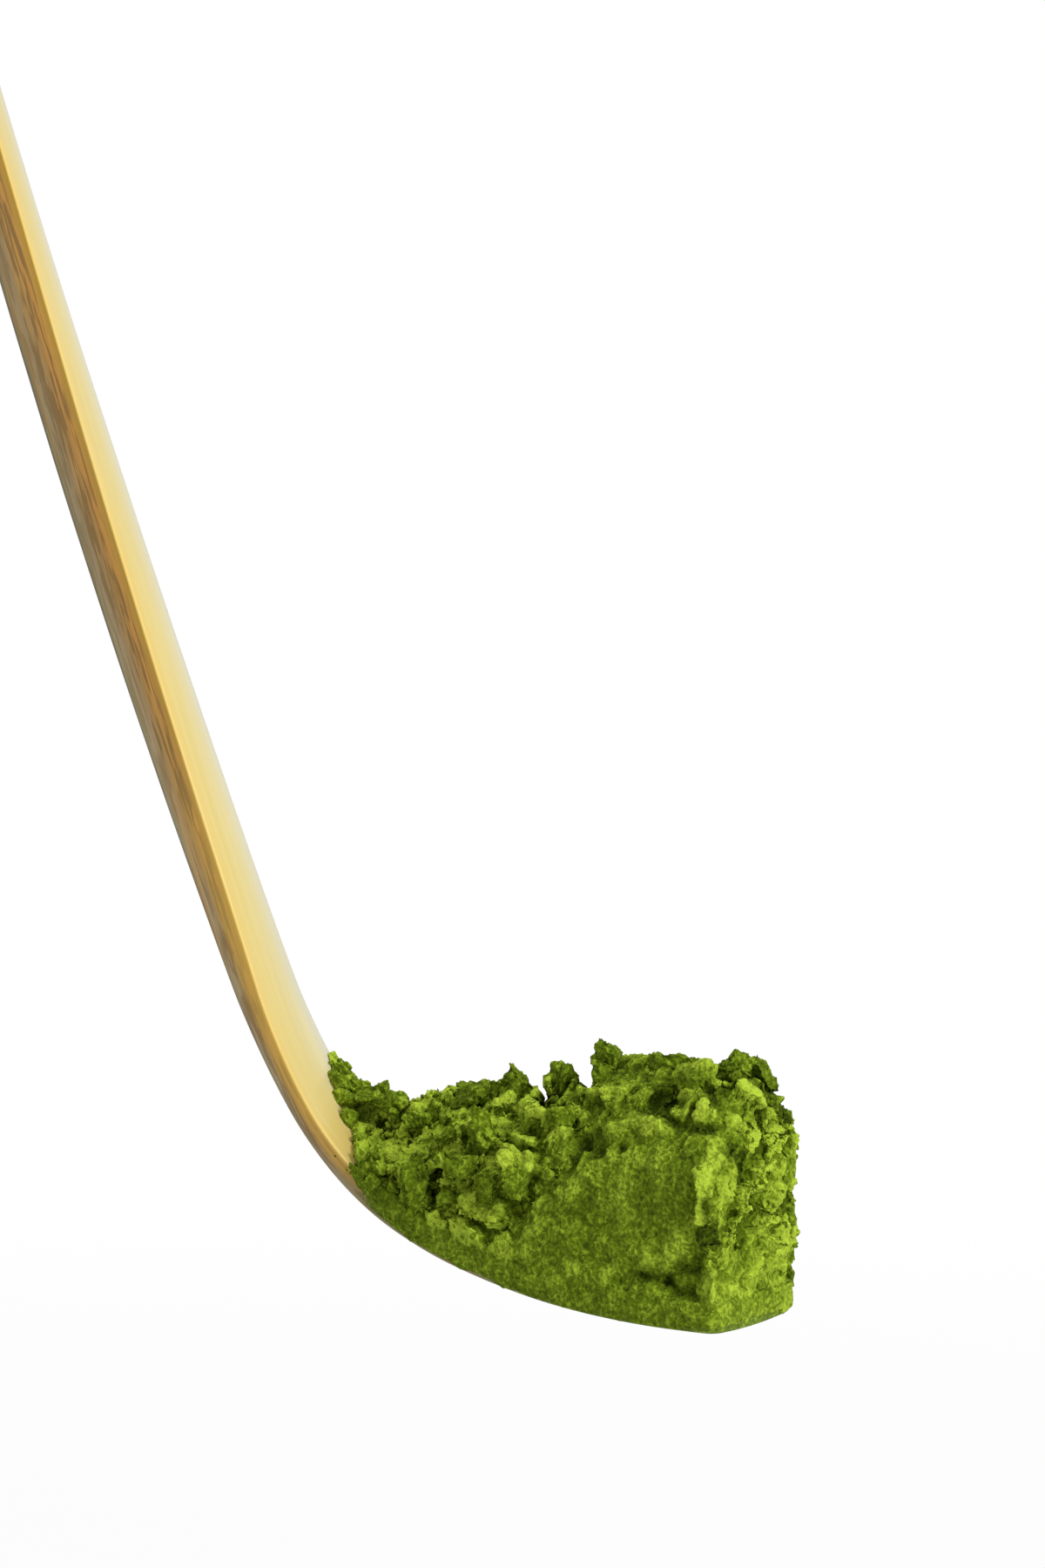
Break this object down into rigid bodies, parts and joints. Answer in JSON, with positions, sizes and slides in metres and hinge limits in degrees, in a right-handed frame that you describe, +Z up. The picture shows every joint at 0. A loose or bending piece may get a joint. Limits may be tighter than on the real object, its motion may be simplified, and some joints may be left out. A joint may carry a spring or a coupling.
{
  "type": "tea scoop",
  "caption": "Slim bamboo scoop for powdered tea: a long handle bent near its low end into a shallow dished bowl that carries a heap of fine powder.",
  "frame": {"origin": "the hand grip, in the middle of the handle, 135 mm along the strip from the tip", "axes": "+Z up, +X towards the tip of the bowl, +Y across the strip; the scoop is held as in use, bowl level"},
  "size_m": [0.0896, 0.0114, 0.1484],
  "materials": {
    "bamboo": "smooth scraped bamboo with a soft sheen",
    "powder": "matte fine powder, milled green tea leaf"
  },
  "bodies": {
    "scoop": {"scoop": "bamboo"},
    "powder": {"powder_heap": "powder", "powder_clods": "powder"}
  },
  "joints": [
    {"name": "powder_slide", "type": "slide", "parent": "scoop", "child": "powder", "axis": [1, 0, 0], "range_m": [0, 0.04]}
  ]
}
